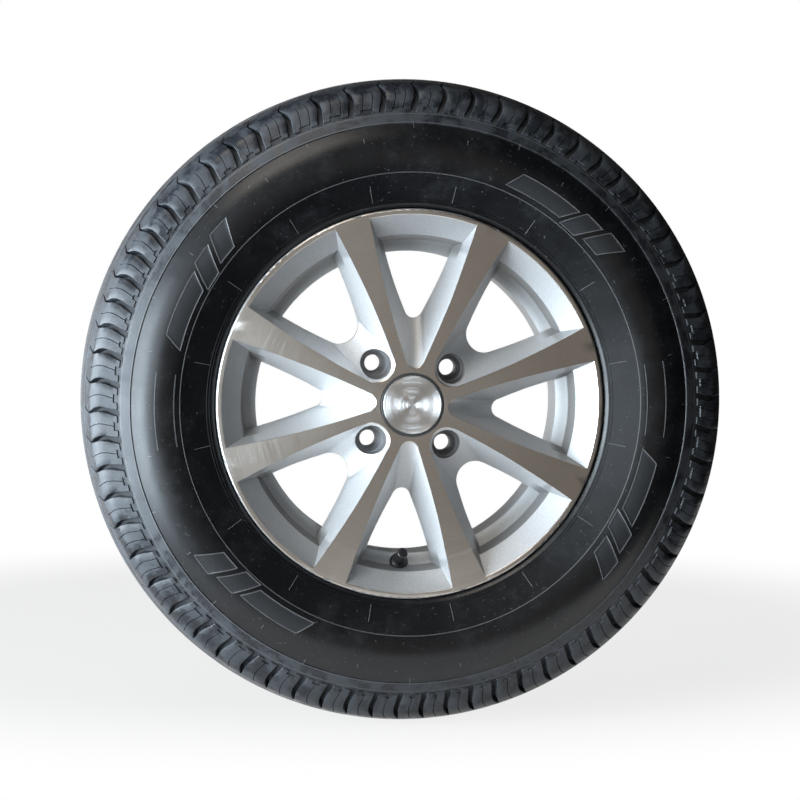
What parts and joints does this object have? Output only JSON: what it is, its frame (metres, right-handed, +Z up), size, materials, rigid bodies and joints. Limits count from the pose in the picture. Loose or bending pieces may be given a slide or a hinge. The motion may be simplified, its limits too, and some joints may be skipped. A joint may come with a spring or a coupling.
{
  "type": "wheel and tyre assembly",
  "caption": "Cast alloy wheel with a turned bright face, tubeless tyre, snap-in valve and centre cap, for bolting to a vehicle or trailer hub.",
  "frame": {"origin": "centre of the tyre and rim, on the wheel's axis, midway between the rim's flanges", "axes": "+Y along the axle, from the street face (at -Y) towards the hub; +Z up, with the valve at the bottom; +X to the right seen from the street"},
  "size_m": [0.6079, 0.1778, 0.608],
  "materials": {
    "wheel": "silver paint, bright turned face",
    "tyre": "black rubber, half matt",
    "centre_cap": "silver lacquer",
    "cap_face": "turned",
    "spring_steel": "drawn wire",
    "valve_rubber": "smooth",
    "brass": "turned",
    "seal_rubber": "smooth",
    "dust_cap": "black, ribbed"
  },
  "bodies": {
    "wheel_and_tyre": {"wheel": "wheel", "tyre": "tyre", "centre_cap": "centre_cap", "centre_cap_face": "cap_face", "centre_cap_spring": "spring_steel", "valve_body": "valve_rubber", "valve_tube": "brass", "valve_core_body": "brass", "valve_core_spring": "spring_steel"},
    "valve_core": {"valve_core_pin": "brass", "valve_core_seal": "seal_rubber"},
    "dust_cap_washer": {"valve_cap_seal": "seal_rubber"},
    "dust_cap": {"valve_cap": "dust_cap"}
  },
  "joints": [
    {"name": "valve_core_press", "type": "slide", "parent": "wheel_and_tyre", "child": "valve_core", "axis": [-0.0224, 0.9037, -0.4277], "range_m": [0, 0.0015], "stiffness_N_per_m": 1000, "springref_m": -0.002, "deforming": ["valve_core_spring"]},
    {"name": "dust_cap_lift", "type": "slide", "parent": "wheel_and_tyre", "child": "dust_cap_washer", "axis": [0.0224, -0.9037, 0.4277], "range_m": [0, 0.00635]},
    {"name": "dust_cap_turn", "type": "hinge", "parent": "dust_cap_washer", "child": "dust_cap", "pos_m": [-0.00796, -0.04242, -0.15188], "axis": [0.0224, -0.9037, 0.4277], "range_deg": [0, 2880]}
  ],
  "couplings": [
    {"joint": "dust_cap_turn", "follows": "dust_cap_lift", "rad_per_m": 7913.3}
  ]
}
